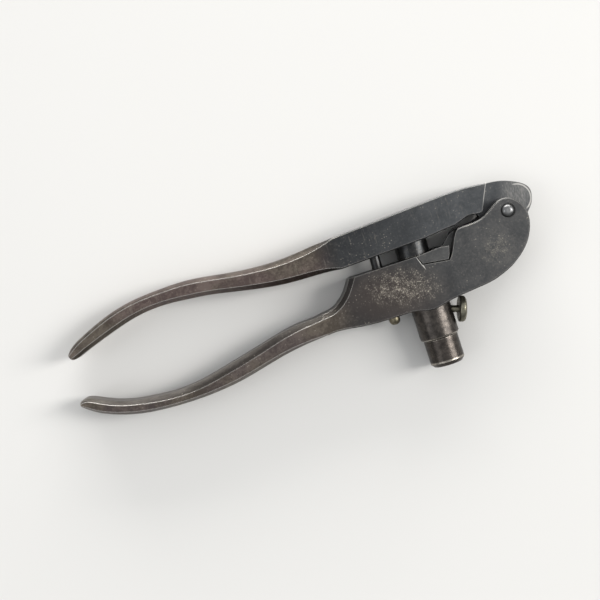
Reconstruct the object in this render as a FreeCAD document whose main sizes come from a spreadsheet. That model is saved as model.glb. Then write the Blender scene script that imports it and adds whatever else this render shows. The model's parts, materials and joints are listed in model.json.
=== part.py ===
import FreeCAD, Part
import math
import os

import Sketcher
from FreeCAD import Placement, Rotation, Vector

# Hand crimping and loading tool: two levers hinged at one end, a stepped die in
# the lower lever, a punch and a priming pin on the upper lever, an extractor.
# Drawn about the pivot: X runs along the jaw away from the handles, Y points
# away from the die, Z is the thickness. The tool lies flat on its Z = 0 side.

os.makedirs("parts", exist_ok=True)
doc = FreeCAD.newDocument("crimping_tool")
sheet = doc.addObject("Spreadsheet::Sheet", "sizes")

SIZES = {
    # frame and levers
    "frame_x": 102.37,
    "frame_y": 22.43,
    "open_angle": 2.2,
    "jaw_thick": 22.0,
    "mid_z": 11.0,
    "slot_width": 9.4,
    "slot_base": 6.3,
    "slot_sweep": 17.0,
    "slot_floor": 14.3,
    "tongue_thick": 5.3,
    "tongue_base": 6.6,
    "notch_bevel": 2.2,
    "edge_bevel": 0.5,
    # pivot
    "pivot_radius": 3.2,
    "pivot_base": 0.4,
    "pivot_length": 22.9,
    "pivot_dome": 2.4,
    "ear_bore": 3.22,
    "ring_radius": 3.55,
    "ring_depth": 0.5,
    "running_bore": 3.27,
    # die
    "die_x": -47.2,
    "die_radius": 9.525,
    "die_bottom": -47.9,
    "die_length": 33.8,
    "die_bore": 6.15,
    "die_socket": 7.3,
    "socket_depth": 14.9,
    "die_seat": 9.6,
    "die_seat_top": -13.9,
    "die_chamfer": 0.8,
    "mouth_radius": 6.6,
    "rim_radius": 8.7,
    "rim_floor": -10.2,
    "cap_radius": 8.4,
    "cap_stem": 7.25,
    "cap_bore": 5.0,
    "cap_bottom": -61.5,
    "cap_collar": 13.4,
    "cap_length": 27.5,
    "cap_end_radius": 6.9,
    "cap_bevel": 1.7,
    "cap_round": 0.9,
    "plug_radius": 4.95,
    "plug_bottom": -60.0,
    "plug_length": 11.0,
    "plug_cup_radius": 3.6,
    "plug_cup_floor": 8.5,
    "slot_cut": 1.2,
    "slot_cut_depth": 1.6,
    # die lock screw
    "lock_x": -33.1,
    "lock_y": -38.4,
    "lock_tilt": 18.1,
    "lock_disc": 6.35,
    "lock_disc_thick": 3.4,
    "lock_disc_round": 0.8,
    "lock_face_round": 1.6,
    "lock_shank": 1.7,
    "lock_length": 7.7,
    "lock_hole": 1.75,
    # priming station
    "priming_x": -65.6,
    "plunger_top": -15.5,
    "plunger_bottom": -35.8,
    "plunger_stem": 2.7,
    "plunger_head": 3.7,
    "plunger_shoulder": 10.2,
    "plunger_length": 20.3,
    "plunger_round": 2.4,
    "plunger_head_bore": 3.8,
    "plunger_stem_bore": 2.78,
    "plunger_shelf": -25.9,
    "bush_radius": 4.6,
    "bush_seat": 4.64,
    "bush_bore": 3.3,
    "bush_bottom": -12.0,
    "bush_length": 4.5,
    # punch and priming pin, on the upper lever
    "punch_radius": 7.9,
    "punch_bottom": -9.4,
    "punch_head": 8.9,
    "punch_stem": 5.0,
    "punch_length": 16.9,
    "punch_tap": 2.1,
    "punch_tap_floor": 10.5,
    "punch_edge": 0.5,
    "punch_spot": 7.96,
    "punch_spot_top": -0.42,
    "punch_stem_bore": 5.04,
    "punch_stem_top": 7.6,
    "screw_shank": 2.04,
    "screw_hole": 2.3,
    "screw_head": 3.8,
    "screw_head_bore": 3.9,
    "screw_bottom": 1.6,
    "screw_neck": 8.9,
    "screw_length": 11.5,
    "screw_seat": 10.4,
    "pin_radius": 2.5,
    "pin_bottom": -10.4,
    "pin_length": 16.4,
    "pin_edge": 0.6,
    "pin_bore": 2.55,
    "grub_radius": 2.51,
    "grub_bottom": 6.1,
    "grub_length": 5.0,
    "driver_slot": 0.9,
    "driver_depth": 1.2,
    # extractor
    "block_inset": 0.1,
    "block_thick": 21.8,
    "arm_base": 12.2,
    "arm_thick": 3.2,
    "hook_radius": 7.3,
    # handles
    "tip_depth": 14.5,
}

row = 0
for word, value in SIZES.items():
    row += 1
    sheet.set("A%d" % row, word)
    sheet.set("B%d" % row, str(value))
    sheet.setAlias("B%d" % row, word)
doc.recompute()


def size(word):
    return float(getattr(sheet, word))


MID = size("mid_z")
THICK = size("jaw_thick")
OPEN = math.radians(size("open_angle"))


def shut(x, y):
    """Turn a point of the upper lever from its open rest pose to the shut pose."""
    turned_x = x * math.cos(OPEN) - y * math.sin(OPEN)
    turned_y = x * math.sin(OPEN) + y * math.cos(OPEN)
    return (turned_x, turned_y)


# ---------------------------------------------------------------- helpers


def origin_part(body, role):
    for item in body.Origin.OriginFeatures:
        if item.Role == role:
            return item
    raise RuntimeError("no origin item " + role)


def new_body(label):
    body = doc.addObject("PartDesign::Body", label)
    body.Label = label
    return body


def attach(item, body, role, offset):
    item.AttachmentSupport = [(origin_part(body, role), "")]
    item.MapMode = "FlatFace"
    item.AttachmentOffset = offset


def flat_sketch(body, name, height=0.0):
    sketch = body.newObject("Sketcher::SketchObject", name)
    attach(sketch, body, "XY_Plane", Placement(Vector(0, 0, height), Rotation()))
    return sketch


def draw_loop(sketch, runs):
    """Closed outline of runs: two points make a line, more make one smooth curve."""
    for run in runs:
        points = [Vector(x, y, 0) for x, y in run]
        if len(points) == 2:
            sketch.addGeometry(Part.LineSegment(points[0], points[1]))
        else:
            curve = Part.BSplineCurve()
            curve.interpolate(points)
            sketch.addGeometry(curve)


def pad(body, sketch, name, length_word):
    feature = body.newObject("PartDesign::Pad", name)
    feature.Profile = sketch
    feature.setExpression("Length", "sizes." + length_word)
    body.Tip = feature
    doc.recompute()
    return feature


def cut_down(body, sketch, name, length_word):
    """Pocket that goes up from its sketch plane by a sheet length."""
    before = body.Shape.Volume
    feature = body.newObject("PartDesign::Pocket", name)
    feature.Profile = sketch
    feature.Reversed = True
    feature.setExpression("Length", "sizes." + length_word)
    body.Tip = feature
    doc.recompute()
    if body.Shape.Volume > before - 0.5:
        raise RuntimeError(name + " cut nothing")
    return feature


def drill(body, name, radius_word, start, direction, length):
    """Round hole from a start point along a direction."""
    before = body.Shape.Volume
    feature = body.newObject("PartDesign::SubtractiveCylinder", name)
    turn = Rotation(Vector(0, 0, 1), Vector(*direction))
    attach(feature, body, "XY_Plane", Placement(Vector(*start), turn))
    feature.Height = length
    feature.setExpression("Radius", "sizes." + radius_word)
    body.Tip = feature
    doc.recompute()
    if body.Shape.Volume > before - 0.05:
        raise RuntimeError(name + " cut nothing")
    return feature


def drill_y(body, name, radius_word, x, y_from, y_to):
    return drill(body, name, radius_word, (x, y_from, MID), (0, 1, 0), y_to - y_from)


def bevel_edges(body, name, word, wanted):
    """Chamfer the edges of the body's last feature that the test picks."""
    base = body.Tip
    names = []
    for number, edge in enumerate(base.Shape.Edges, 1):
        middle = edge.valueAt((edge.FirstParameter + edge.LastParameter) / 2)
        if wanted(edge, middle):
            names.append("Edge%d" % number)
    if not names:
        raise RuntimeError(name + " found no edge")
    feature = body.newObject("PartDesign::Chamfer", name)
    feature.Base = (base, names)
    feature.setExpression("Size", "sizes." + word)
    body.Tip = feature
    doc.recompute()
    return feature


def round_edges(body, name, word, wanted):
    base = body.Tip
    names = []
    for number, edge in enumerate(base.Shape.Edges, 1):
        middle = edge.valueAt((edge.FirstParameter + edge.LastParameter) / 2)
        if wanted(edge, middle):
            names.append("Edge%d" % number)
    if not names:
        raise RuntimeError(name + " found no edge")
    feature = body.newObject("PartDesign::Fillet", name)
    feature.Base = (base, names)
    feature.setExpression("Radius", "sizes." + word)
    body.Tip = feature
    doc.recompute()
    return feature


def turned(label, profile):
    """Body turned about its own Z axis from (radius word, height word) corners."""
    body = new_body(label)
    sketch = body.newObject("Sketcher::SketchObject", label + "_profile")
    attach(sketch, body, "XZ_Plane", Placement())
    corners = []
    for radius_word, height_word in profile:
        radius = size(radius_word) if radius_word else 0.0
        height = size(height_word) if height_word else 0.0
        corners.append(Vector(radius, height, 0))
    count = len(corners)
    for i in range(count):
        sketch.addGeometry(Part.LineSegment(corners[i], corners[(i + 1) % count]))
    for i in range(count):
        sketch.addConstraint(Sketcher.Constraint("Coincident", i, 2, (i + 1) % count, 1))
    for i, (radius_word, height_word) in enumerate(profile):
        if radius_word:
            word = "r%d_%s" % (i, radius_word)
            rule = Sketcher.Constraint("DistanceX", -1, 1, i, 1, corners[i].x)
            number = sketch.addConstraint(rule)
            sketch.renameConstraint(number, word)
            sketch.setExpression("Constraints." + word, "sizes." + radius_word)
        else:
            sketch.addConstraint(Sketcher.Constraint("PointOnObject", i, 1, -2))
        if height_word:
            word = "z%d_%s" % (i, height_word)
            rule = Sketcher.Constraint("DistanceY", -1, 1, i, 1, corners[i].y)
            number = sketch.addConstraint(rule)
            sketch.renameConstraint(number, word)
            sketch.setExpression("Constraints." + word, "sizes." + height_word)
        else:
            sketch.addConstraint(Sketcher.Constraint("PointOnObject", i, 1, -1))
    feature = body.newObject("PartDesign::Revolution", label + "_turn")
    feature.Profile = sketch
    feature.ReferenceAxis = (sketch, ["V_Axis"])
    feature.Angle = 360.0
    body.Tip = feature
    doc.recompute()
    return body


def bound(body, x_rule, y_rule, z_rule):
    body.setExpression(".Placement.Base.x", x_rule)
    body.setExpression(".Placement.Base.y", y_rule)
    body.setExpression(".Placement.Base.z", z_rule)


STAND = Rotation(Vector(1, 0, 0), -90)
LEVER_TURN = Rotation(Vector(0, 0, 1), -size("open_angle"))


def place_lower(body, x_word, y_word):
    """Stand a turned body along Y in the lower lever, its base at the named height."""
    body.Placement = Placement(Vector(), STAND)
    bound(
        body,
        "sizes.frame_x + sizes." + x_word,
        "sizes.frame_y + sizes." + y_word,
        "sizes.mid_z",
    )


def place_upper(body, x_word, y_word):
    """The same in the upper lever, which rests a little open."""
    body.Placement = Placement(Vector(), LEVER_TURN.multiply(STAND))
    cosine = "cos(sizes.open_angle * 1 deg)"
    sine = "sin(sizes.open_angle * 1 deg)"
    bound(
        body,
        "sizes.frame_x + sizes.%s * %s + sizes.%s * %s" % (x_word, cosine, y_word, sine),
        "sizes.frame_y + sizes.%s * %s - sizes.%s * %s" % (y_word, cosine, x_word, sine),
        "sizes.mid_z",
    )


# How far the handles' upper bevels bulge, from flat at the jaw to rounded in the hand.
FULLNESS = [0.03, 0.08, 0.13, 0.17]
UPPER_BEVELS = (1, 3)


def grip(body, name, stations):
    """Handle lofted through bevelled sections; each goes from its top to its bottom point."""
    sketches = []
    for number, station in enumerate(stations):
        top, bottom, depth, top_bevel, bottom_bevel, side_bevel = station
        across = Vector(top[0] - bottom[0], top[1] - bottom[1], 0)
        half = across.Length / 2
        across.normalize()
        upward = Vector(0, 0, 1)
        along = across.cross(upward)
        middle = Vector((top[0] + bottom[0]) / 2, (top[1] + bottom[1]) / 2, MID)
        turn = Rotation(across, upward, along, "ZXY")
        sketch = body.newObject("Sketcher::SketchObject", "%s_%d" % (name, number))
        attach(sketch, body, "XY_Plane", Placement(middle, turn))
        side = depth / 2
        fullness = FULLNESS[min(number, len(FULLNESS) - 1)]
        corners = [
            (bottom_bevel - half, -side),
            (half - top_bevel, -side),
            (half, side_bevel - side),
            (half, side - side_bevel),
            (half - top_bevel, side),
            (bottom_bevel - half, side),
            (-half, side - side_bevel),
            (-half, side_bevel - side),
        ]
        for i in range(8):
            first = Vector(corners[i][0], corners[i][1], 0)
            second = Vector(corners[(i + 1) % 8][0], corners[(i + 1) % 8][1], 0)
            if i not in UPPER_BEVELS:
                sketch.addGeometry(Part.LineSegment(first, second))
                continue
            chord_middle = (first + second) / 2
            square = Vector(math.copysign(half, first.x), math.copysign(side, first.y), 0)
            crown = chord_middle + (square - chord_middle) * fullness
            sketch.addGeometry(Part.Arc(first, crown, second))
        sketches.append(sketch)
    feature = body.newObject("PartDesign::AdditiveLoft", name)
    feature.Profile = sketches[0]
    feature.Sections = sketches[1:]
    feature.Ruled = False
    body.Tip = feature
    doc.recompute()
    return feature


def driver_slot(body, name, z_base, depth_word, reach, width_word):
    """Straight screwdriver slot across a turned body's end, cut up from z_base."""
    half = size(width_word) / 2
    sketch = flat_sketch(body, name + "_outline", z_base)
    corners = [(-reach, -half), (reach, -half), (reach, half), (-reach, half)]
    draw_loop(sketch, [[corners[i], corners[(i + 1) % 4]] for i in range(4)])
    return cut_down(body, sketch, name, depth_word)


# ---------------------------------------------------------------- lower lever

NOTCH_CURVE = [
    (-80.9, -7.4),
    (-82.2, -9.4),
    (-84.0, -12.0),
    (-86.3, -14.6),
    (-88.9, -16.8),
    (-91.9, -18.5),
    (-95.0, -19.4),
    (-98.0, -19.7),
]
UNDERSIDE = [
    (-98.5, -29.7),
    (-92.7, -29.4),
    (-88.0, -29.9),
    (-83.3, -30.6),
    (-76.0, -31.3),
    (-68.0, -31.6),
    (-60.0, -31.6),
    (-54.5, -32.2),
    (-50.5, -33.3),
    (-46.5, -33.6),
    (-42.5, -32.9),
    (-37.0, -31.7),
    (-29.0, -30.8),
    (-23.0, -30.2),
    (-17.0, -29.4),
    (-11.4, -27.8),
    (-6.4, -25.7),
    (-2.2, -23.1),
]
EAR_BACK = [
    (-2.2, -23.1),
    (1.8, -19.8),
    (5.0, -16.0),
    (7.3, -11.7),
    (8.6, -7.2),
    (8.7, -3.3),
    (7.8, 0.0),
    (5.9, 2.8),
    (3.3, 5.1),
    (0.2, 6.2),
    (-2.9, 5.9),
    (-6.2, 4.3),
    (-9.4, 2.3),
    (-12.6, 0.6),
    (-16.5, -0.3),
    (-20.5, -0.5),
    (-24.4, -0.6),
]
EAR_FRONT = [
    (-24.4, -0.6),
    (-26.3, -1.8),
    (-27.7, -4.0),
    (-28.9, -6.4),
    (-29.9, -8.6),
    (-31.1, -11.0),
    (-33.2, -13.7),
]
NOTCH_FLOOR = [(-33.2, -13.7), (-46.2, -11.9)]
NOTCH_WALL = [(-46.2, -11.9), (-47.9, -7.3)]
JAW_TOP = [(-47.9, -7.3), (-80.9, -7.4)]
GRIP_END = [(-98.0, -19.7), (-98.5, -29.7)]

# top point, bottom point, depth, top bevel, bottom bevel, bevel across the depth
LOWER_GRIP = [
    ((-98.0, -19.7), (-98.5, -29.7), 22.0, 2.2, 0.5, 2.2),
    ((-108.2, -20.6), (-109.5, -30.7), 21.3, 2.5, 1.2, 2.7),
    ((-119.2, -22.1), (-121.5, -32.6), 20.6, 3.1, 1.7, 3.2),
    ((-130.3, -24.7), (-133.0, -35.3), 19.8, 3.5, 1.9, 3.6),
    ((-141.4, -27.3), (-144.0, -37.7), 19.0, 3.7, 1.9, 3.8),
    ((-152.4, -29.8), (-154.5, -39.1), 18.3, 3.5, 1.8, 3.8),
    ((-163.4, -32.0), (-164.5, -39.7), 17.7, 3.1, 1.6, 3.6),
    ((-173.8, -32.9), (-174.0, -39.7), 17.1, 2.6, 1.5, 3.4),
    ((-183.8, -32.4), (-184.5, -39.1), 16.6, 2.4, 1.5, 3.2),
    ((-193.6, -31.1), (-195.5, -37.5), 16.1, 2.0, 1.5, 3.0),
    ((-203.0, -28.7), (-205.5, -34.6), 15.6, 1.9, 1.4, 2.8),
    ((-211.4, -25.0), (-213.0, -31.3), 15.1, 1.8, 1.3, 2.6),
    ((-217.9, -22.9), (-218.0, -27.9), 14.5, 1.4, 1.2, 2.3),
    ((-220.3, -24.0), (-220.2, -26.2), 13.3, 0.8, 0.8, 2.0),
]

lower = new_body("lower_lever")
outline = flat_sketch(lower, "lower_outline")
draw_loop(
    outline,
    [NOTCH_CURVE, GRIP_END, UNDERSIDE, EAR_BACK, EAR_FRONT, NOTCH_FLOOR, NOTCH_WALL, JAW_TOP],
)
pad(lower, outline, "lower_plate", "jaw_thick")


def on_side_face(point):
    return point.z < 0.01 or point.z > THICK - 0.01


def near_run(point, run):
    flat = Vector(point.x, point.y, 0)
    curve = Part.BSplineCurve()
    curve.interpolate([Vector(x, y, 0) for x, y in run])
    return Part.Vertex(flat).distToShape(curve.toShape())[0] < 0.02


bevel_edges(
    lower,
    "notch_bevels",
    "notch_bevel",
    lambda edge, middle: on_side_face(middle) and near_run(middle, NOTCH_CURVE),
)
bevel_edges(
    lower,
    "underside_bevels",
    "edge_bevel",
    lambda edge, middle: on_side_face(middle)
    and (near_run(middle, UNDERSIDE) or near_run(middle, EAR_BACK)),
)
grip(lower, "lower_grip", LOWER_GRIP)

fork = flat_sketch(lower, "fork_outline", size("slot_base"))
sweep = size("slot_sweep")
floor = -size("slot_floor")
corner = -math.sqrt(sweep ** 2 - floor ** 2)
fork_start = Vector(corner, floor, 0)
fork_middle = Vector(0, -sweep, 0)
fork_end = Vector(sweep, 0, 0)
fork.addGeometry(Part.Arc(fork_start, fork_middle, fork_end))
draw_loop(
    fork,
    [
        [(sweep, 0), (sweep, 25)],
        [(sweep, 25), (-34.6, 25)],
        [(-34.6, 25), (-34.6, floor)],
        [(-34.6, floor), (corner, floor)],
    ],
)
cut_down(lower, fork, "fork_slot", "slot_width")
drill(lower, "pivot_bore", "ear_bore", (0, 0, -1), (0, 0, 1), THICK + 2)
ring_base = THICK - size("ring_depth")
drill(lower, "pivot_ring", "ring_radius", (0, 0, ring_base), (0, 0, 1), 2)
die_x = size("die_x")
drill_y(lower, "rim_recess", "rim_radius", die_x, size("rim_floor"), 2)
drill_y(lower, "chamber_mouth", "mouth_radius", die_x, size("die_seat_top") - 1, 0)
drill_y(lower, "die_seat_bore", "die_seat", die_x, -50, size("die_seat_top"))
priming_x = size("priming_x")
bush_bottom = size("bush_bottom")
drill_y(lower, "bush_bore_seat", "bush_seat", priming_x, bush_bottom, 0)
drill_y(
    lower,
    "plunger_head_hole",
    "plunger_head_bore",
    priming_x,
    size("plunger_shelf"),
    bush_bottom + 1,
)
drill_y(lower, "plunger_stem_hole", "plunger_stem_bore", priming_x, -40, -20)

# ---------------------------------------------------------------- upper lever

UPPER_TOP = [
    (-83.0, 13.3),
    (-78.5, 13.6),
    (-68.7, 14.1),
    (-58.6, 14.7),
    (-48.6, 15.3),
    (-38.5, 15.9),
    (-28.4, 16.4),
    (-18.5, 16.6),
    (-12.5, 16.2),
    (-6.0, 15.5),
]
UPPER_STEP = [(-6.0, 15.5), (-11.9, 2.8)]
UPPER_ARCH = [
    (-11.9, 2.8),
    (-14.6, 2.8),
    (-17.8, 3.3),
    (-21.2, 2.6),
    (-25.6, 1.1),
]
UPPER_UNDERSIDE = [
    [(-25.6, 1.1), (-34.0, 0.4)],
    [(-34.0, 0.4), (-41.0, -0.4)],
    [(-41.0, -0.4), (-83.0, -2.0)],
]
UPPER_END = [(-83.0, -2.0), (-83.0, 13.3)]

UPPER_GRIP = [
    ((-83.0, 13.3), (-83.0, -2.0), 22.0, 0.5, 0.5, 0.5),
    ((-89.5, 12.9), (-89.6, -1.3), 21.6, 1.9, 1.7, 2.0),
    ((-97.7, 12.1), (-98.5, -1.0), 21.1, 2.7, 2.3, 3.0),
    ((-108.3, 11.2), (-109.5, -0.5), 20.5, 2.6, 2.4, 3.4),
    ((-118.8, 11.3), (-120.5, 0.9), 19.9, 2.4, 2.3, 3.6),
    ((-130.6, 12.3), (-132.8, 3.2), 19.3, 2.2, 2.1, 3.8),
    ((-143.1, 14.2), (-145.0, 5.6), 18.7, 2.1, 2.0, 3.8),
    ((-156.0, 15.7), (-156.6, 7.0), 18.0, 2.0, 2.0, 3.8),
    ((-168.0, 15.6), (-166.8, 7.8), 17.5, 1.9, 1.9, 3.6),
    ((-179.5, 14.8), (-177.0, 7.4), 17.0, 1.8, 1.9, 3.4),
    ((-190.0, 12.9), (-186.6, 5.7), 16.5, 1.8, 1.8, 3.2),
    ((-200.7, 9.4), (-197.0, 2.7), 15.9, 1.7, 1.7, 3.0),
    ((-209.6, 5.6), (-205.6, -0.1), 15.3, 1.6, 1.6, 2.7),
    ((-214.6, 3.0), (-212.0, -2.4), 14.9, 1.5, 1.5, 2.5),
    ((-217.2, 0.9), (-215.6, -3.6), 14.4, 1.3, 1.3, 2.3),
    ((-218.5, -0.7), (-217.5, -3.4), 13.2, 0.8, 0.8, 2.0),
]

TONGUE_TOP = [
    (-18.0, 14.2),
    (-11.0, 15.1),
    (-3.8, 15.3),
    (3.2, 14.3),
    (7.9, 12.6),
    (12.2, 10.3),
    (14.7, 7.9),
    (15.5, 5.3),
    (15.2, 2.6),
    (14.1, -0.3),
    (11.8, -3.2),
    (8.6, -6.7),
    (3.8, -9.2),
    (-1.6, -9.5),
    (-6.5, -7.6),
    (-9.9, -4.0),
    (-11.6, 0.4),
    (-13.2, 4.4),
]
TONGUE_ROOT = [
    [(-13.2, 4.4), (-18.0, 6.0)],
    [(-18.0, 6.0), (-18.0, 14.2)],
]


def shut_run(run):
    return [shut(x, y) for x, y in run]


upper = new_body("upper_lever")
outline = flat_sketch(upper, "upper_outline")
upper_runs = [UPPER_TOP, UPPER_STEP, UPPER_ARCH] + UPPER_UNDERSIDE + [UPPER_END]
draw_loop(outline, [shut_run(run) for run in upper_runs])
pad(upper, outline, "upper_plate", "jaw_thick")
shut_top = shut_run(UPPER_TOP)
shut_arch = shut_run(UPPER_ARCH)
step_low = shut(-11.9, 2.8)
end_low = shut(-83.0, -2.0)


def on_upper_rim(edge, middle):
    if not on_side_face(middle):
        return False
    if near_run(middle, shut_top) or near_run(middle, shut_arch):
        return True
    low = middle.y < step_low[1] + 0.5
    return low and middle.x > end_low[0] + 0.5 and middle.x < step_low[0]


bevel_edges(upper, "upper_bevels", "edge_bevel", on_upper_rim)
grip(
    upper,
    "upper_grip",
    [(shut(*top), shut(*bottom), d, a, b, c) for top, bottom, d, a, b, c in UPPER_GRIP],
)
tongue = flat_sketch(upper, "tongue_outline", size("tongue_base"))
draw_loop(tongue, [shut_run(run) for run in [TONGUE_TOP] + TONGUE_ROOT])
pad(upper, tongue, "tongue", "tongue_thick")
drill(upper, "tongue_bore", "running_bore", (0, 0, 0), (0, 0, 1), THICK)
drill_y(upper, "punch_spotface", "punch_spot", die_x, -8, size("punch_spot_top"))
drill_y(upper, "punch_stem_hole", "punch_stem_bore", die_x, -5, size("punch_stem_top"))
drill_y(upper, "punch_screw_hole", "screw_hole", die_x, 0, 20)
drill_y(upper, "punch_screw_seat", "screw_head_bore", die_x, size("screw_seat"), 20)
drill_y(upper, "priming_pin_hole", "pin_bore", priming_x, -12, 20)

# ---------------------------------------------------------------- extractor

BLOCK = [
    (-47.5, -7.3),
    (-45.9, -11.45),
    (-33.5, -13.2),
    (-32.4, -10.6),
    (-31.5, -7.1),
    (-36.0, -6.5),
]
ARM_TOP = [
    (-36.0, -7.5),
    (-31.9, -5.0),
    (-29.1, -2.3),
    (-24.8, -1.2),
    (-17.0, -0.6),
    (-10.0, 1.2),
    (-6.4, 2.6),
]
ARM_HUB = [
    (-6.4, 2.6),
    (-3.4, 5.0),
    (0.0, 5.8),
    (4.2, 4.0),
    (5.8, 0.0),
    (4.2, -4.2),
    (0.0, -6.1),
    (-4.6, -6.4),
]
ARM_LOW = [
    (-4.6, -6.4),
    (-12.0, -8.4),
    (-20.0, -10.4),
    (-28.0, -12.2),
    (-36.0, -12.4),
]
ARM_END = [(-36.0, -12.4), (-36.0, -7.5)]

extractor = new_body("extractor")
block = flat_sketch(extractor, "block_outline", size("block_inset"))
draw_loop(block, [[BLOCK[i], BLOCK[(i + 1) % len(BLOCK)]] for i in range(len(BLOCK))])
pad(extractor, block, "block", "block_thick")
arm = flat_sketch(extractor, "arm_outline", size("arm_base"))
draw_loop(arm, [ARM_TOP, ARM_HUB, ARM_LOW, ARM_END])
pad(extractor, arm, "arm", "arm_thick")
drill(extractor, "extractor_bore", "running_bore", (0, 0, 0), (0, 0, 1), THICK)
drill_y(extractor, "extractor_recess", "rim_radius", die_x, size("rim_floor"), 0)
drill_y(extractor, "extractor_hook", "hook_radius", die_x, -15, 0)

# ---------------------------------------------------------------- pins, die, screws

pin = turned(
    "pivot_pin",
    [("", ""), ("pivot_radius", ""), ("pivot_radius", "pivot_length"), ("", "pivot_length")],
)
pin_top = size("pivot_length")
round_edges(
    pin, "pivot_dome_round", "pivot_dome", lambda edge, middle: middle.z > pin_top - 0.01
)
bevel_edges(
    pin,
    "pivot_end_bevel",
    "edge_bevel",
    lambda edge, middle: middle.z < 0.01 and edge.Length > 10,
)
bound(pin, "sizes.frame_x", "sizes.frame_y", "sizes.pivot_base")

die = turned(
    "die_body",
    [
        ("die_socket", ""),
        ("die_radius", ""),
        ("die_radius", "die_length"),
        ("die_bore", "die_length"),
        ("die_bore", "socket_depth"),
        ("die_socket", "socket_depth"),
    ],
)
die_radius = size("die_radius")
bevel_edges(
    die,
    "die_rim_bevel",
    "die_chamfer",
    lambda edge, middle: middle.z < 0.01 and edge.Length > 6.2 * die_radius,
)
tilt = math.radians(size("lock_tilt"))
lock_way = (-math.cos(tilt), 0, math.sin(tilt))
lock_start = (size("lock_x") - die_x, 0, size("lock_y") - size("die_bottom"))
drill(die, "lock_hole_cut", "lock_hole", lock_start, lock_way, 9.6)
place_lower(die, "die_x", "die_bottom")

cap = turned(
    "die_cap",
    [
        ("cap_bore", ""),
        ("cap_end_radius", ""),
        ("cap_radius", "cap_bevel"),
        ("cap_radius", "cap_collar"),
        ("cap_stem", "cap_collar"),
        ("cap_stem", "cap_length"),
        ("cap_bore", "cap_length"),
    ],
)
cap_end = size("cap_end_radius")
round_edges(
    cap,
    "cap_end_round",
    "cap_round",
    lambda edge, middle: middle.z < 0.01 and edge.Length > 6.2 * cap_end,
)
place_lower(cap, "die_x", "cap_bottom")

plug = turned(
    "seating_plug",
    [
        ("", ""),
        ("plug_radius", ""),
        ("plug_radius", "plug_length"),
        ("plug_cup_radius", "plug_length"),
        ("", "plug_cup_floor"),
    ],
)
driver_slot(plug, "plug_slot", 0.0, "slot_cut_depth", 6.0, "slot_cut")
place_lower(plug, "die_x", "plug_bottom")

lock = turned(
    "die_lock_screw",
    [
        ("", ""),
        ("lock_disc", ""),
        ("lock_disc", "lock_disc_thick"),
        ("lock_shank", "lock_disc_thick"),
        ("lock_shank", "lock_length"),
        ("", "lock_length"),
    ],
)
lock_disc = size("lock_disc")
round_edges(
    lock,
    "lock_face_edge",
    "lock_face_round",
    lambda edge, middle: edge.Length > 6.2 * lock_disc and middle.z < 0.01,
)
round_edges(
    lock,
    "lock_back_edge",
    "lock_disc_round",
    lambda edge, middle: edge.Length > 6.2 * lock_disc and middle.z > 3,
)
lock_direction = Vector(-math.cos(tilt), math.sin(tilt), 0)
lock.Placement = Placement(Vector(), Rotation(Vector(0, 0, 1), lock_direction))
half_disc = "sizes.lock_disc_thick / 2"
bound(
    lock,
    "sizes.frame_x + sizes.lock_x + cos(sizes.lock_tilt * 1 deg) * " + half_disc,
    "sizes.frame_y + sizes.lock_y - sin(sizes.lock_tilt * 1 deg) * " + half_disc,
    "sizes.mid_z",
)

bush = turned(
    "priming_bush",
    [
        ("bush_bore", ""),
        ("bush_radius", ""),
        ("bush_radius", "bush_length"),
        ("bush_bore", "bush_length"),
    ],
)
place_lower(bush, "priming_x", "bush_bottom")

plunger = turned(
    "knockout_plunger",
    [
        ("", ""),
        ("plunger_stem", ""),
        ("plunger_stem", "plunger_shoulder"),
        ("plunger_head", "plunger_shoulder"),
        ("plunger_head", "plunger_length"),
        ("", "plunger_length"),
    ],
)
round_edges(
    plunger,
    "plunger_nose",
    "plunger_round",
    lambda edge, middle: middle.z < 0.01 and edge.Length > 10,
)
place_lower(plunger, "priming_x", "plunger_bottom")

punch = turned(
    "seating_punch",
    [
        ("", ""),
        ("punch_radius", ""),
        ("punch_radius", "punch_head"),
        ("punch_stem", "punch_head"),
        ("punch_stem", "punch_length"),
        ("punch_tap", "punch_length"),
        ("punch_tap", "punch_tap_floor"),
        ("", "punch_tap_floor"),
    ],
)
punch_radius = size("punch_radius")
bevel_edges(
    punch,
    "punch_face_bevel",
    "punch_edge",
    lambda edge, middle: middle.z < 0.01 and edge.Length > 6.2 * punch_radius,
)
place_upper(punch, "die_x", "punch_bottom")

screw = turned(
    "punch_screw",
    [
        ("", ""),
        ("screw_shank", ""),
        ("screw_shank", "screw_neck"),
        ("screw_head", "screw_neck"),
        ("screw_head", "screw_length"),
        ("", "screw_length"),
    ],
)
slot_base = size("screw_length") - size("driver_depth")
driver_slot(screw, "screw_slot", slot_base, "driver_depth", 6.0, "driver_slot")
place_upper(screw, "die_x", "screw_bottom")

primer = turned(
    "priming_pin",
    [("", ""), ("pin_radius", ""), ("pin_radius", "pin_length"), ("", "pin_length")],
)
bevel_edges(
    primer,
    "pin_end_bevel",
    "pin_edge",
    lambda edge, middle: middle.z < 0.01 and edge.Length > 10,
)
place_upper(primer, "priming_x", "pin_bottom")

grub = turned(
    "pin_screw",
    [("", ""), ("grub_radius", ""), ("grub_radius", "grub_length"), ("", "grub_length")],
)
grub_slot_base = size("grub_length") - size("driver_depth")
driver_slot(grub, "grub_slot", grub_slot_base, "driver_depth", 4.0, "driver_slot")
place_upper(grub, "priming_x", "grub_bottom")

bound(lower, "sizes.frame_x", "sizes.frame_y", "0")
bound(extractor, "sizes.frame_x", "sizes.frame_y", "0")
upper.Placement = Placement(Vector(), LEVER_TURN)
bound(upper, "sizes.frame_x", "sizes.frame_y", "0")

# ---------------------------------------------------------------- check and export

doc.recompute()
for item in doc.Objects:
    for state in item.State:
        if state in ("Invalid", "Error"):
            raise RuntimeError(item.Label + " is in state " + state)

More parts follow.
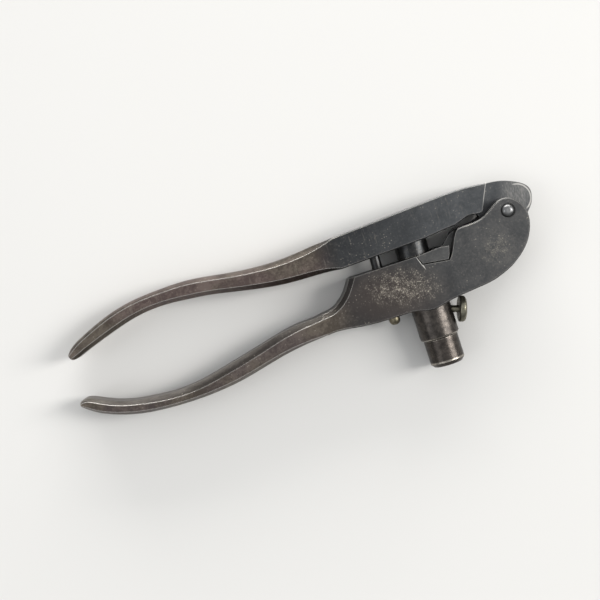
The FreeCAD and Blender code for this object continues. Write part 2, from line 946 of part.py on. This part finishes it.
bodies = [item for item in doc.Objects if item.TypeId == "PartDesign::Body"]
whole = None
for body in bodies:
    shape = body.Shape
    if shape.isNull() or not shape.isValid() or len(shape.Solids) != 1:
        raise RuntimeError(body.Label + " is not one valid solid")
    shape.exportStep("parts/%s.step" % body.Label)
    box = shape.BoundBox
    whole = box if whole is None else whole.united(box)
    print(
        "%-18s volume %8.0f  x %7.2f %7.2f  y %7.2f %7.2f  z %6.2f %6.2f"
        % (body.Label, shape.Volume, box.XMin, box.XMax, box.YMin, box.YMax, box.ZMin, box.ZMax)
    )
print("box centre", (whole.XMin + whole.XMax) / 2, (whole.YMin + whole.YMax) / 2, whole.ZMin)
print("box size", whole.XLength, whole.YLength, whole.ZLength)
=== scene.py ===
import json
import math

import bpy
from mathutils import Matrix, Vector


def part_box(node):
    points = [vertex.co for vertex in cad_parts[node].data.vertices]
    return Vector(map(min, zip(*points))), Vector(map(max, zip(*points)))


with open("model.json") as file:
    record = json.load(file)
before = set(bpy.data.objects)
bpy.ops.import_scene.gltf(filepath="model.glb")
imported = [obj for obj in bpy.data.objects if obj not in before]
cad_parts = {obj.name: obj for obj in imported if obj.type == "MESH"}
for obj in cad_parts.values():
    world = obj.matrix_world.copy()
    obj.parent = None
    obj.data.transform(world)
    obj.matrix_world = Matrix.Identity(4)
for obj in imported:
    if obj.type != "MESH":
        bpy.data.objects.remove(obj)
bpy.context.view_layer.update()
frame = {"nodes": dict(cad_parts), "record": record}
NODES = frame["nodes"]
JOINTS = {joint["name"]: joint for joint in frame["record"]["behaviour"]["joints"]}

# Places on the tool are in millimetres from the middle of the hinge pin: X runs from the
# handles to the hinge, Y from the die to the upper lever, and Z up. The tool lies on one side
# face, so FACE, the Z of the other one, is the same as the hinge's height over the floor.
MM = 0.001
PIVOT = Vector(JOINTS["lever_pivot"]["pos_m"])
FACE = PIVOT.z / MM

TO_HANDLES = (-1.0, 0.0, 0.0)
TO_DIE = (0.0, -1.0, 0.0)
TO_UPPER_LEVER = (0.0, 1.0, 0.0)
TO_HORN = (1.0, 0.25, 0.0)
UP = (0.0, 0.0, 1.0)

# Camera: looks down at the tool as it lies, rolled so that the handles fall to the left.
# Its place is in metres.
CAMERA_FROM_PIVOT = Vector((-0.11208, 0.01432, 0.5269))
CAMERA_RIGHT = Vector((0.9504, -0.3103, 0.0255))
CAMERA_UP = Vector((0.3111, 0.9496, -0.0405))
CAMERA_LENS_MM = 66.0
CAMERA_SENSOR_MM = 36.0
CAMERA_CLIP_START = 0.01

# ---------------------------------------------------------------- colours, worn places and painted light

BARE_STEEL = (0.50, 0.48, 0.45)
TAN_WEAR = (0.43, 0.39, 0.32)
TAN_FLECK = (0.13, 0.12, 0.105)
# Painted highlight for the handles' outer upper bevels, which also reads as palm-polished steel.
PALM_SHEEN_AND_WEAR = (0.26, 0.245, 0.225)
# Painted shade for the band along the handles' ridge.
PAINTED_RIDGE_SHADE = (0.012, 0.011, 0.010)
JAW_SHADE = (0.012, 0.012, 0.013)
BROWN_STAIN = (0.066, 0.052, 0.046)
BROWN_TONES = ((0.074, 0.061, 0.049), (0.128, 0.107, 0.086))
PLUM_TONES = ((0.072, 0.057, 0.053), (0.122, 0.099, 0.089))
WARM_PLUM_TONES = ((0.090, 0.066, 0.060), (0.150, 0.114, 0.101))
BLACK_FLECK = (0.16, 0.14, 0.115)
# Rubbed steel on the dark parts, also used for painted highlight bands along the die's rims.
BLACK_RUB_AND_SHEEN = (0.60, 0.55, 0.48)
BRIGHT_RUB = (0.75, 0.73, 0.68)

# Each patch is a place, how far it reaches, how softly it ends, and its stretch and its turn
# in degrees.
# THROUGH stretches a patch so that it goes through the tool from side to side.
THROUGH = (1.0, 1.0, 20.0)
PIN_RING = {"point": (0.0, 0.0, 0.0), "reach": 4.4, "soft": 0.6, "stretch": THROUGH}
JAW_PITS = {
    "point": (-58.4, -19.0, FACE),
    "reach": 4.0,
    "soft": 16.0,
    "stretch": (1.3, 0.66, 1.0),
    "turn": -14.0,
}
JAW_STAIN = {
    "point": (-66.0, -21.0, FACE),
    "reach": 6.0,
    "soft": 22.0,
    "stretch": (1.3, 0.7, 1.0),
    "turn": -14.0,
}
EAR_PITS = {"point": (-10.0, -15.5, FACE), "reach": 0.5, "soft": 12.0}
NOTCH_SCRATCH = {
    "point": (-46.75, -10.45, FACE),
    "reach": 0.24,
    "soft": 0.12,
    "stretch": (13.0, 1.0, 1.5),
    "turn": -69.7,
}
STEP_LINE = {
    "point": (-7.9, 11.4, FACE),
    "reach": 0.24,
    "soft": 0.16,
    "stretch": (20.0, 1.0, 1.5),
    "turn": 65.1,
}
HORN_WEAR = {"point": (9.0, 6.5, 0.0), "reach": 3.0, "soft": 9.0, "stretch": (0.9, 1.0, 9.0)}
# HORN_INSIDE and HORN_TO_RIM bound a painted highlight band along the horn's rim.
HORN_INSIDE = {"point": (8.0, 4.0, 0.0), "reach": 6.3, "soft": 0.3, "stretch": THROUGH}
HORN_TO_RIM = {"point": (8.0, 4.0, 0.0), "reach": 7.0, "soft": 0.25, "stretch": THROUGH}


# ---------------------------------------------------------------- node helpers

# Sockets of Blender's Mix node when it mixes colours.
MIX_FACTOR = 0
MIX_FIRST = 6
MIX_SECOND = 7
MIX_RESULT = 2

# Noise mostly stays between these two values.
NOISE_SPREAD = (0.3, 0.7)
PATINA_SPREAD = (0.42, 0.58)
EVEN = (1.0, 1.0, 1.0)
SEED_STEPS = (1.0, 1.7, 0.6)
EDGE_SAMPLES = 6
DOT_CORE = 0.6


class Shader:
    """Builds one node material; every call adds nodes and returns their output."""

    def __init__(self, name):
        self.material = bpy.data.materials.new(name)
        self.material.use_nodes = True
        self.tree = self.material.node_tree
        self.tree.nodes.clear()
        self.surface = self.tree.nodes.new("ShaderNodeBsdfPrincipled")
        output = self.tree.nodes.new("ShaderNodeOutputMaterial")
        self.tree.links.new(self.surface.outputs[0], output.inputs["Surface"])
        coordinates = self.tree.nodes.new("ShaderNodeTexCoord")
        self.place = coordinates.outputs["Object"]
        self.normal = coordinates.outputs["Normal"]

    def feed(self, socket, value):
        """Links an output to a socket, or sets a plain number, vector or colour on it."""
        if isinstance(value, bpy.types.NodeSocket):
            self.tree.links.new(value, socket)
        elif socket.type == "RGBA":
            socket.default_value = (*value, 1.0)
        else:
            socket.default_value = value

    def math(self, operation, first, second=0.0, clamp=False):
        node = self.tree.nodes.new("ShaderNodeMath")
        node.operation = operation
        node.use_clamp = clamp
        self.feed(node.inputs[0], first)
        self.feed(node.inputs[1], second)
        return node.outputs[0]

    def less(self, first, second, clamp=False):
        return self.math("SUBTRACT", first, second, clamp)

    def larger(self, first, second):
        return self.math("MAXIMUM", first, second)

    def add(self, *values):
        total = values[0]
        for value in values[1:]:
            total = self.math("ADD", total, value)
        return total

    def times(self, *values):
        product = values[0]
        for value in values[1:]:
            product = self.math("MULTIPLY", product, value)
        return product

    def ramp(self, value, low, high, out_low=0.0, out_high=1.0):
        """Runs smoothly from out_low, where the value is low, to out_high, where it is high."""
        node = self.tree.nodes.new("ShaderNodeMapRange")
        node.interpolation_type = "SMOOTHSTEP"
        self.feed(node.inputs["Value"], value)
        node.inputs["From Min"].default_value = low
        node.inputs["From Max"].default_value = high
        node.inputs["To Min"].default_value = out_low
        node.inputs["To Max"].default_value = out_high
        return node.outputs[0]

    def fall(self, value, low, high):
        """1 where the value is low, 0 where it is high."""
        return self.ramp(value, low, high, out_low=1.0, out_high=0.0)

    def vector(self, operation, first, second):
        node = self.tree.nodes.new("ShaderNodeVectorMath")
        node.operation = operation
        self.feed(node.inputs[0], first)
        self.feed(node.inputs[1], second)
        return node.outputs

    def facing(self, way):
        """1 where the surface faces a direction, -1 where it faces away."""
        return self.vector("DOT_PRODUCT", self.normal, way)["Value"]

    def flatness(self):
        """1 on the tool's two side faces, 0 on walls that stand square to them."""
        return self.math("ABSOLUTE", self.facing(UP))

    def mapped(self, size_mm, seed, stretch=EVEN, turn=0.0):
        """Coordinates in cells of a size, shifted by the seed."""
        node = self.tree.nodes.new("ShaderNodeMapping")
        self.tree.links.new(self.place, node.inputs["Vector"])
        node.inputs["Location"].default_value = [seed * step for step in SEED_STEPS]
        node.inputs["Rotation"].default_value = (0.0, 0.0, math.radians(turn))
        node.inputs["Scale"].default_value = [s / (size_mm * MM) for s in stretch]
        return node.outputs[0]

    def noise(self, size_mm, seed, detail, rough, stretch=EVEN, turn=0.0):
        node = self.tree.nodes.new("ShaderNodeTexNoise")
        self.tree.links.new(self.mapped(size_mm, seed, stretch, turn), node.inputs["Vector"])
        node.inputs["Scale"].default_value = 1.0
        node.inputs["Detail"].default_value = detail
        node.inputs["Roughness"].default_value = rough
        return node.outputs["Fac"]

    def dots(self, size_mm, seed, radius):
        """1 in small scattered dots, which fade past their core; the radius is in cells."""
        node = self.tree.nodes.new("ShaderNodeTexVoronoi")
        self.tree.links.new(self.mapped(size_mm, seed), node.inputs["Vector"])
        node.inputs["Scale"].default_value = 1.0
        return self.fall(node.outputs["Distance"], DOT_CORE * radius, radius)

    def mix(self, factor, first, second, strength=1.0):
        """Lays the second colour over the first where the factor is high, up to a strength."""
        if strength < 1.0:
            factor = self.times(factor, strength)
        node = self.tree.nodes.new("ShaderNodeMix")
        node.data_type = "RGBA"
        self.feed(node.inputs[MIX_FACTOR], factor)
        self.feed(node.inputs[MIX_FIRST], first)
        self.feed(node.inputs[MIX_SECOND], second)
        return node.outputs[MIX_RESULT]

    def edge(self, radius_mm):
        """0 on open faces, rising along edges and corners."""
        bevel = self.tree.nodes.new("ShaderNodeBevel")
        bevel.samples = EDGE_SAMPLES
        bevel.inputs["Radius"].default_value = radius_mm * MM
        geometry = self.tree.nodes.new("ShaderNodeNewGeometry")
        dot = self.vector("DOT_PRODUCT", bevel.outputs[0], geometry.outputs["Normal"])
        return self.less(1.0, dot["Value"], clamp=True)

    def along(self, way, start, end):
        """0 before start and 1 after end, measured from the hinge along a direction."""
        offset = self.vector("SUBTRACT", self.place, PIVOT)["Vector"]
        distance = self.vector("DOT_PRODUCT", offset, Vector(way).normalized())["Value"]
        return self.ramp(distance, start * MM, end * MM)

    def near(self, point, reach, soft, stretch=EVEN, turn=0.0):
        """1 within reach of a point, and 0 at soft or more past that."""
        node = self.tree.nodes.new("ShaderNodeMapping")
        node.vector_type = "TEXTURE"
        self.tree.links.new(self.place, node.inputs["Vector"])
        node.inputs["Location"].default_value = PIVOT + Vector(point) * MM
        node.inputs["Rotation"].default_value = (0.0, 0.0, math.radians(turn))
        node.inputs["Scale"].default_value = stretch
        length = self.vector("LENGTH", node.outputs[0], (0.0, 0.0, 0.0))["Value"]
        return self.fall(length, reach * MM, (reach + soft) * MM)

    def bump(self, height, depth_mm, strength):
        node = self.tree.nodes.new("ShaderNodeBump")
        node.inputs["Strength"].default_value = strength
        node.inputs["Distance"].default_value = depth_mm * MM
        self.tree.links.new(height, node.inputs["Height"])
        self.tree.links.new(node.outputs[0], self.surface.inputs["Normal"])

    def coat(self, colour, metallic, roughness):
        self.feed(self.surface.inputs["Base Color"], colour)
        self.surface.inputs["Metallic"].default_value = metallic
        self.feed(self.surface.inputs["Roughness"], roughness)


# ---------------------------------------------------------------- lever steel


class LeverSteel(Shader):
    """Worn blued steel: blue grey on the jaw, plum and brown patina along the handle."""

    def __init__(self, name, seed, jaw_tones, plum_tones=PLUM_TONES):
        super().__init__(name)
        self.cloud = self.noise(size_mm=9.0, seed=8.4 + seed, detail=6.0, rough=0.68)
        self.fleck = self.noise(size_mm=1.1, seed=2.2 + seed, detail=4.0, rough=0.7)
        self.grain = self.noise(size_mm=0.4, seed=1.7 + seed, detail=3.0, rough=0.6)
        broad = self.noise(size_mm=24.0, seed=3.1 + seed, detail=3.0, rough=0.5)
        tone = self.add(self.times(self.cloud, 0.6), self.times(self.fleck, 0.4))

        jaw = self.mix(self.ramp(tone, 0.36, 0.64), *jaw_tones)
        jaw_end = self.along(TO_HANDLES, start=15.0, end=86.0)
        jaw = self.mix(jaw_end, jaw, JAW_SHADE, strength=0.6)

        plum = self.mix(self.ramp(tone, *PATINA_SPREAD), *plum_tones)
        brown = self.mix(self.ramp(tone, *PATINA_SPREAD), *BROWN_TONES)
        patina = self.mix(self.ramp(broad, 0.40, 0.62), plum, brown)

        ragged = self.times(self.less(broad, 0.5), 0.6)
        handle = self.add(self.along(TO_HANDLES, start=74.0, end=106.0), ragged)
        colour = self.mix(self.ramp(handle, 0.1, 0.9), jaw, patina)
        flecks = self.ramp(self.fleck, 0.56, 0.72)
        self.colour = self.mix(flecks, colour, TAN_FLECK, strength=0.30)

    def pitting(self, patch, amount):
        """Fine tan pits, thickest at the centre of a patch, in a faint stain."""
        zone = self.near(**patch)
        fine = self.noise(size_mm=0.5, seed=6.3, detail=2.0, rough=0.7)
        clump = self.noise(size_mm=3.6, seed=9.9, detail=3.0, rough=0.6)
        clumped = self.times(self.less(clump, 0.5), 0.3)
        level = self.add(fine, clumped, self.times(zone, 0.13))
        pits = self.times(self.ramp(level, 0.70, 0.75), self.ramp(zone, 0.0, 0.5), amount)
        stain = self.times(self.ramp(clump, 0.4, 0.65), zone, 0.09)
        return self.add(pits, stain)

    def shaded_edge_rub(self, grip, upward):
        """Bright worn metal along edges, most on the handles; on edges that face the die it is
        dimmed as painted shade.
        """
        beside_pin = self.near(**PIN_RING)
        edge = self.ramp(self.edge(radius_mm=0.6), 0.008, 0.055)
        bright_edge = self.times(edge, self.ramp(self.grain, 0.25, 0.5), self.less(1.0, beside_pin))
        on_grip = self.ramp(grip, 0.0, 1.0, out_low=0.35)
        # Painted shade: edges that face the die keep only about a third of their rub, as if that
        # side were out of the light.
        lit_side_weight = self.ramp(upward, -0.40, -0.05, out_low=0.35)
        return self.times(bright_edge, on_grip, lit_side_weight)

    def finish(self, bare_metal_and_highlight, pits, palm_sheen_and_wear, ridge_shade):
        """Adds the rubbed edges, a painted highlight (which also reads as hand wear) and a
        painted shade band on the handles' upper bevels, specks and forged texture that lever
        parts share.
        """
        grip = self.along(TO_HANDLES, start=70.0, end=95.0)
        upward = self.facing(TO_UPPER_LEVER)
        flat = self.flatness()
        bright_marks = self.larger(self.shaded_edge_rub(grip, upward), bare_metal_and_highlight)

        upper_bevel = self.times(self.ramp(upward, 0.08, 0.25), grip)
        steep = self.times(self.fall(flat, 0.60, 0.76), self.ramp(flat, 0.0, 0.35, out_low=0.4))
        uneven = self.ramp(self.cloud, *NOISE_SPREAD, out_low=0.7, out_high=1.3)
        # Painted highlight on the steep outer part of the handles' upper bevels, which also reads
        # as palm-polished steel.
        palm_sheen = self.times(steep, upper_bevel, uneven, palm_sheen_and_wear)
        shallow = self.times(self.fall(flat, 0.90, 0.97), self.ramp(flat, 0.38, 0.74))
        # Painted shade on the flatter part of the handles' upper bevels, in the band beside the
        # ridge.
        ridge_shade_mask = self.times(shallow, upper_bevel, ridge_shade)
        dots = self.dots(size_mm=1.5, seed=4.2, radius=0.2)
        specks = self.times(dots, self.ramp(self.cloud, 0.46, 0.6))

        colour = self.mix(palm_sheen, self.colour, PALM_SHEEN_AND_WEAR)
        colour = self.mix(ridge_shade_mask, colour, PAINTED_RIDGE_SHADE)
        colour = self.mix(specks, colour, TAN_WEAR, strength=0.4)
        colour = self.mix(pits, colour, TAN_WEAR)
        colour = self.mix(bright_marks, colour, BARE_STEEL)
        satin = self.ramp(self.cloud, *NOISE_SPREAD, out_low=0.36, out_high=0.46)
        rough = self.add(satin, self.times(bright_marks, -0.1), self.times(pits, 0.12))
        self.coat(colour, metallic=0.85, roughness=rough)

        forged = self.add(self.fleck, self.times(self.grain, 0.6))
        height = self.add(forged, self.times(specks, -0.6), self.times(pits, -0.7))
        self.bump(height, depth_mm=0.03, strength=0.8)
        return self.material


def lower_steel():
    """Lower lever: a brown stain and tan pits above the die, fainter pits on the ear."""
    tones = ((0.050, 0.051, 0.052), (0.076, 0.075, 0.074))
    s = LeverSteel("lower_steel", seed=0.0, jaw_tones=tones)
    s.colour = s.mix(s.near(**JAW_STAIN), s.colour, BROWN_STAIN, strength=0.6)
    pits = s.larger(s.pitting(JAW_PITS, amount=0.85), s.pitting(EAR_PITS, amount=0.25))
    # The last two numbers set the painted highlight and the painted shade on the handles' upper
    # bevels.
    return s.finish(s.near(**NOTCH_SCRATCH), pits, palm_sheen_and_wear=0.6, ridge_shade=0.85)


def upper_steel():
    """Upper lever: a scratched horn with a painted highlight along its rim, and a worn line where
    it steps down.
    """
    tones = ((0.056, 0.059, 0.062), (0.080, 0.083, 0.086))
    s = LeverSteel("upper_steel", seed=5.0, jaw_tones=tones, plum_tones=WARM_PLUM_TONES)
    streaks = s.noise(
        size_mm=0.5,
        seed=4.0,
        detail=4.0,
        rough=0.6,
        stretch=(1.0, 0.22, 1.0),
        turn=12.0,
    )
    streaks = s.ramp(streaks, 0.36, 0.72, out_low=0.18, out_high=0.60)
    horn = s.times(s.near(**HORN_WEAR), streaks)
    # Painted highlight: a bright band on the flat faces along the horn's outer rim, coloured as
    # bare steel.
    rim_highlight = s.less(s.near(**HORN_TO_RIM), s.near(**HORN_INSIDE))
    rim_highlight = s.times(rim_highlight, s.ramp(s.flatness(), 0.5, 0.8), s.along(TO_HORN, start=9.0, end=12.0))
    bare_metal_and_highlight = s.larger(s.times(horn, 0.5), s.times(rim_highlight, 0.9))
    bare_metal_and_highlight = s.larger(bare_metal_and_highlight, s.times(s.near(**STEP_LINE), 0.7))
    scratches = s.noise(
        size_mm=1.6,
        seed=12.0,
        detail=5.0,
        rough=0.7,
        stretch=(1.0, 0.1, 1.0),
        turn=8.0,
    )
    scuffs = s.times(s.ramp(scratches, 0.58, 0.72), 0.16)
    # The last two numbers set the painted highlight and the painted shade on the handles' upper
    # bevels.
    return s.finish(bare_metal_and_highlight, scuffs, palm_sheen_and_wear=0.1, ridge_shade=0.6)


def extractor_steel():
    """Extractor: a little paler than the jaw around it, with its share of the notch's scratch."""
    tones = ((0.070, 0.070, 0.070), (0.100, 0.099, 0.096))
    s = LeverSteel("extractor_steel", seed=11.0, jaw_tones=tones)
    scuffs = s.times(s.ramp(s.fleck, 0.7, 0.8), 0.2)
    return s.finish(s.near(**NOTCH_SCRATCH), scuffs, palm_sheen_and_wear=0.0, ridge_shade=0.0)


# ---------------------------------------------------------------- other metals


def black_steel(name, tones, rough, seed, rim_mm=None):
    """Dark glossy steel with turned lines and worn flecks.

    A rim this far below the hinge is rubbed bright: worn metal, in a band widened into a painted
    highlight.
    """
    s = Shader(name)
    cloud = s.noise(size_mm=3.5, seed=2.9 + seed, detail=5.0, rough=0.62)
    fleck = s.noise(size_mm=0.8, seed=6.1 + seed, detail=4.0, rough=0.7)
    grain = s.noise(size_mm=0.4, seed=7.7 + seed, detail=3.0, rough=0.6)
    turned = s.noise(size_mm=0.5, seed=4.4, detail=2.0, rough=0.5, stretch=(0.05, 1.0, 0.05))
    colour = s.mix(s.ramp(cloud, *NOISE_SPREAD), *tones)
    bright_marks = s.times(s.ramp(fleck, 0.54, 0.70), s.ramp(cloud, 0.40, 0.60))
    colour = s.mix(bright_marks, colour, BLACK_FLECK, strength=0.45)
    bright_edge = s.times(s.ramp(s.edge(radius_mm=0.55), 0.015, 0.09), s.ramp(grain, 0.25, 0.5))
    if rim_mm is not None:
        # The rim band is wider than a worn edge: a painted highlight along the rim, in the rubbed
        # colour.
        rim_start = s.along(TO_DIE, start=rim_mm - 0.9, end=rim_mm - 0.3)
        rim_end = s.along(TO_DIE, start=rim_mm + 0.2, end=rim_mm + 0.4)
        patchy = s.ramp(grain, 0.35, 0.65, out_low=0.35)
        bright_edge = s.larger(bright_edge, s.times(s.less(rim_start, rim_end), patchy, 0.75))
    colour = s.mix(bright_edge, colour, BLACK_RUB_AND_SHEEN, strength=0.85)
    s.coat(colour, metallic=0.9, roughness=s.ramp(fleck, *NOISE_SPREAD, *rough))
    s.bump(s.add(turned, s.times(fleck, 0.8), s.times(grain, 0.4)), depth_mm=0.014, strength=0.8)
    return s.material


def bright_metal(name, tones, rough, seed):
    """Bare or plated metal with cloudy stains, rubbed edges and a fine grain."""
    s = Shader(name)
    cloud = s.noise(size_mm=2.2, seed=9.1 + seed, detail=5.0, rough=0.62)
    grain = s.noise(size_mm=0.35, seed=3.3 + seed, detail=3.0, rough=0.6)
    colour = s.mix(s.ramp(cloud, 0.32, 0.66), *tones)
    bright_edge = s.ramp(s.edge(radius_mm=0.4), 0.03, 0.15)
    colour = s.mix(bright_edge, colour, BRIGHT_RUB, strength=0.4)
    s.coat(colour, metallic=0.95, roughness=s.ramp(grain, *NOISE_SPREAD, *rough))
    s.bump(s.add(cloud, s.times(grain, 0.5)), depth_mm=0.012, strength=0.6)
    return s.material


def rim_distance(node, height_mm):
    """How far below the hinge a rim lies, given its height over the lower end of its piece."""
    return (PIVOT.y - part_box(node)[0][1]) / MM - height_mm


DIE_STEEL = black_steel(
    "die_steel",
    tones=((0.036, 0.032, 0.029), (0.080, 0.070, 0.062)),
    rough=(0.24, 0.40),
    seed=0.0,
    rim_mm=rim_distance("die_body", height_mm=0.1),
)
CAP_STEEL = black_steel(
    "cap_steel",
    tones=((0.032, 0.028, 0.025), (0.068, 0.058, 0.051)),
    rough=(0.22, 0.38),
    seed=2.0,
    rim_mm=rim_distance("die_cap", height_mm=2.0),
)
PUNCH_STEEL = black_steel(
    "punch_steel",
    tones=((0.020, 0.021, 0.022), (0.040, 0.040, 0.040)),
    rough=(0.26, 0.38),
    seed=3.0,
)
BRIGHT_STEEL = bright_metal(
    "bright_steel",
    tones=((0.22, 0.21, 0.20), (0.40, 0.39, 0.37)),
    rough=(0.18, 0.32),
    seed=0.0,
)
PIVOT_STEEL = bright_metal(
    "pivot_steel",
    tones=((0.14, 0.14, 0.14), (0.20, 0.20, 0.20)),
    rough=(0.30, 0.38),
    seed=4.0,
)
NICKEL = bright_metal(
    "nickel",
    tones=((0.130, 0.122, 0.090), (0.225, 0.212, 0.165)),
    rough=(0.30, 0.42),
    seed=7.0,
)
OLD_BRASS = bright_metal(
    "old_brass",
    tones=((0.10, 0.09, 0.062), (0.21, 0.185, 0.13)),
    rough=(0.34, 0.48),
    seed=9.0,
)

# ---------------------------------------------------------------- pieces

FINISH = {
    "lower_lever": lower_steel(),
    "upper_lever": upper_steel(),
    "extractor": extractor_steel(),
    "pivot_pin": PIVOT_STEEL,
    "die_body": DIE_STEEL,
    "die_cap": CAP_STEEL,
    "seating_plug": BRIGHT_STEEL,
    "die_lock_screw": NICKEL,
    "priming_bush": BRIGHT_STEEL,
    "knockout_plunger": OLD_BRASS,
    "seating_punch": PUNCH_STEEL,
    "punch_screw": BRIGHT_STEEL,
    "priming_pin": PUNCH_STEEL,
    "pin_screw": BRIGHT_STEEL,
}
WIDE_EDGE_MM = 0.3
NARROW_EDGE_MM = 0.18
WIDE_EDGED = ("lower_lever", "upper_lever", "die_body")
WELD_MM = 0.01
EDGE_SEGMENTS = 3
SHARP_DEGREES = 26.0


def soften(piece, width_mm):
    """Joins the mesh's split corners and rounds its sharp edges."""
    weld = piece.modifiers.new("weld", "WELD")
    weld.merge_threshold = WELD_MM * MM
    bevel = piece.modifiers.new("bevel", "BEVEL")
    bevel.width = width_mm * MM
    bevel.segments = EDGE_SEGMENTS
    bevel.limit_method = "ANGLE"
    bevel.angle_limit = math.radians(SHARP_DEGREES)
    bevel.harden_normals = True
    normals = piece.modifiers.new("normals", "WEIGHTED_NORMAL")
    normals.keep_sharp = True


for node, finish in FINISH.items():
    piece = NODES[node]
    piece.data.materials.clear()
    piece.data.materials.append(finish)
    soften(piece, WIDE_EDGE_MM if node in WIDE_EDGED else NARROW_EDGE_MM)

# ---------------------------------------------------------------- stage

# The floor's half width is in metres, and the sky's span is how far it turns to its bright side.
FLOOR_HALF = 12.0
FLOOR_DROP_MM = 0.2
FLOOR_TONES = ((0.62, 0.61, 0.59), (0.66, 0.65, 0.63))
FLOOR_ROUGHNESS = 0.8

SKY_BRIGHT_WAY = (0.25, 0.62, 0.74)
SKY_STRENGTHS = (0.16, 0.85)
SKY_SPAN = (-0.8, 1.0)
SKY_COLOUR = (0.96, 0.98, 1.0, 1.0)


def add_floor():
    """Pale floor, just under the side that the tool lies on."""
    half = FLOOR_HALF
    mesh = bpy.data.meshes.new("floor")
    corners = [(-half, -half, 0.0), (half, -half, 0.0), (half, half, 0.0), (-half, half, 0.0)]
    mesh.from_pydata(corners, [], [(0, 1, 2, 3)])
    plane = bpy.data.objects.new("floor", mesh)
    plane.location.z = -FLOOR_DROP_MM * MM
    bpy.context.scene.collection.objects.link(plane)
    s = Shader("floor_paint")
    tone = s.noise(size_mm=300.0, seed=1.0, detail=2.0, rough=0.5)
    s.feed(s.surface.inputs["Base Color"], s.mix(tone, *FLOOR_TONES))
    s.surface.inputs["Roughness"].default_value = FLOOR_ROUGHNESS
    mesh.materials.append(s.material)


def add_world():
    """Dim room, brighter on the side that the key light comes from."""
    world = bpy.data.worlds.new("studio")
    world.use_nodes = True
    tree = world.node_tree
    background = tree.nodes["Background"]
    background.inputs["Color"].default_value = SKY_COLOUR
    way = tree.nodes.new("ShaderNodeTexCoord").outputs["Generated"]
    dot = tree.nodes.new("ShaderNodeVectorMath")
    dot.operation = "DOT_PRODUCT"
    tree.links.new(way, dot.inputs[0])
    dot.inputs[1].default_value = SKY_BRIGHT_WAY
    ramp = tree.nodes.new("ShaderNodeMapRange")
    ramp.interpolation_type = "SMOOTHSTEP"
    ramp.inputs["From Min"].default_value, ramp.inputs["From Max"].default_value = SKY_SPAN
    ramp.inputs["To Min"].default_value, ramp.inputs["To Max"].default_value = SKY_STRENGTHS
    tree.links.new(dot.outputs["Value"], ramp.inputs["Value"])
    tree.links.new(ramp.outputs[0], background.inputs["Strength"])
    bpy.context.scene.world = world


def area_light(name, way, distance, size, watts, colour):
    """Soft box in a direction from the tool, facing it; distance and size in metres."""
    lamp = bpy.data.lights.new(name, "AREA")
    lamp.shape = "RECTANGLE"
    lamp.size, lamp.size_y = size
    lamp.energy = watts
    lamp.color = colour
    holder = bpy.data.objects.new(name, lamp)
    holder.location = Vector(way).normalized() * distance
    holder.rotation_euler = (-holder.location).to_track_quat("-Z", "Y").to_euler()
    bpy.context.scene.collection.objects.link(holder)


def add_camera():
    """Camera at the place and angle named at the top, with its up squared to its right."""
    camera_data = bpy.data.cameras.new("camera")
    camera_data.lens = CAMERA_LENS_MM
    camera_data.sensor_width = CAMERA_SENSOR_MM
    camera_data.clip_start = CAMERA_CLIP_START
    camera = bpy.data.objects.new("camera", camera_data)
    right = CAMERA_RIGHT.normalized()
    up = (CAMERA_UP - right * CAMERA_UP.dot(right)).normalized()
    turn = Matrix((right, up, right.cross(up))).transposed().to_4x4()
    camera.matrix_world = Matrix.Translation(PIVOT + CAMERA_FROM_PIVOT) @ turn
    bpy.context.scene.collection.objects.link(camera)
    bpy.context.scene.camera = camera


add_floor()
add_world()
area_light(
    "key",
    way=(0.24, 0.93, 0.22),
    distance=2.85,
    size=(3.0, 1.02),
    watts=99.0,
    colour=(1.0, 0.985, 0.96),
)
area_light(
    "strip",
    way=(0.743, -0.05, 0.669),
    distance=2.4,
    size=(0.66, 1.5),
    watts=40.5,
    colour=(1.0, 0.99, 0.97),
)
area_light(
    "fill",
    way=(-0.85, 0.1, 0.75),
    distance=3.3,
    size=(1.8, 1.8),
    watts=18.0,
    colour=(0.95, 0.97, 1.0),
)
add_camera()
bpy.context.scene.view_settings.view_transform = "Standard"
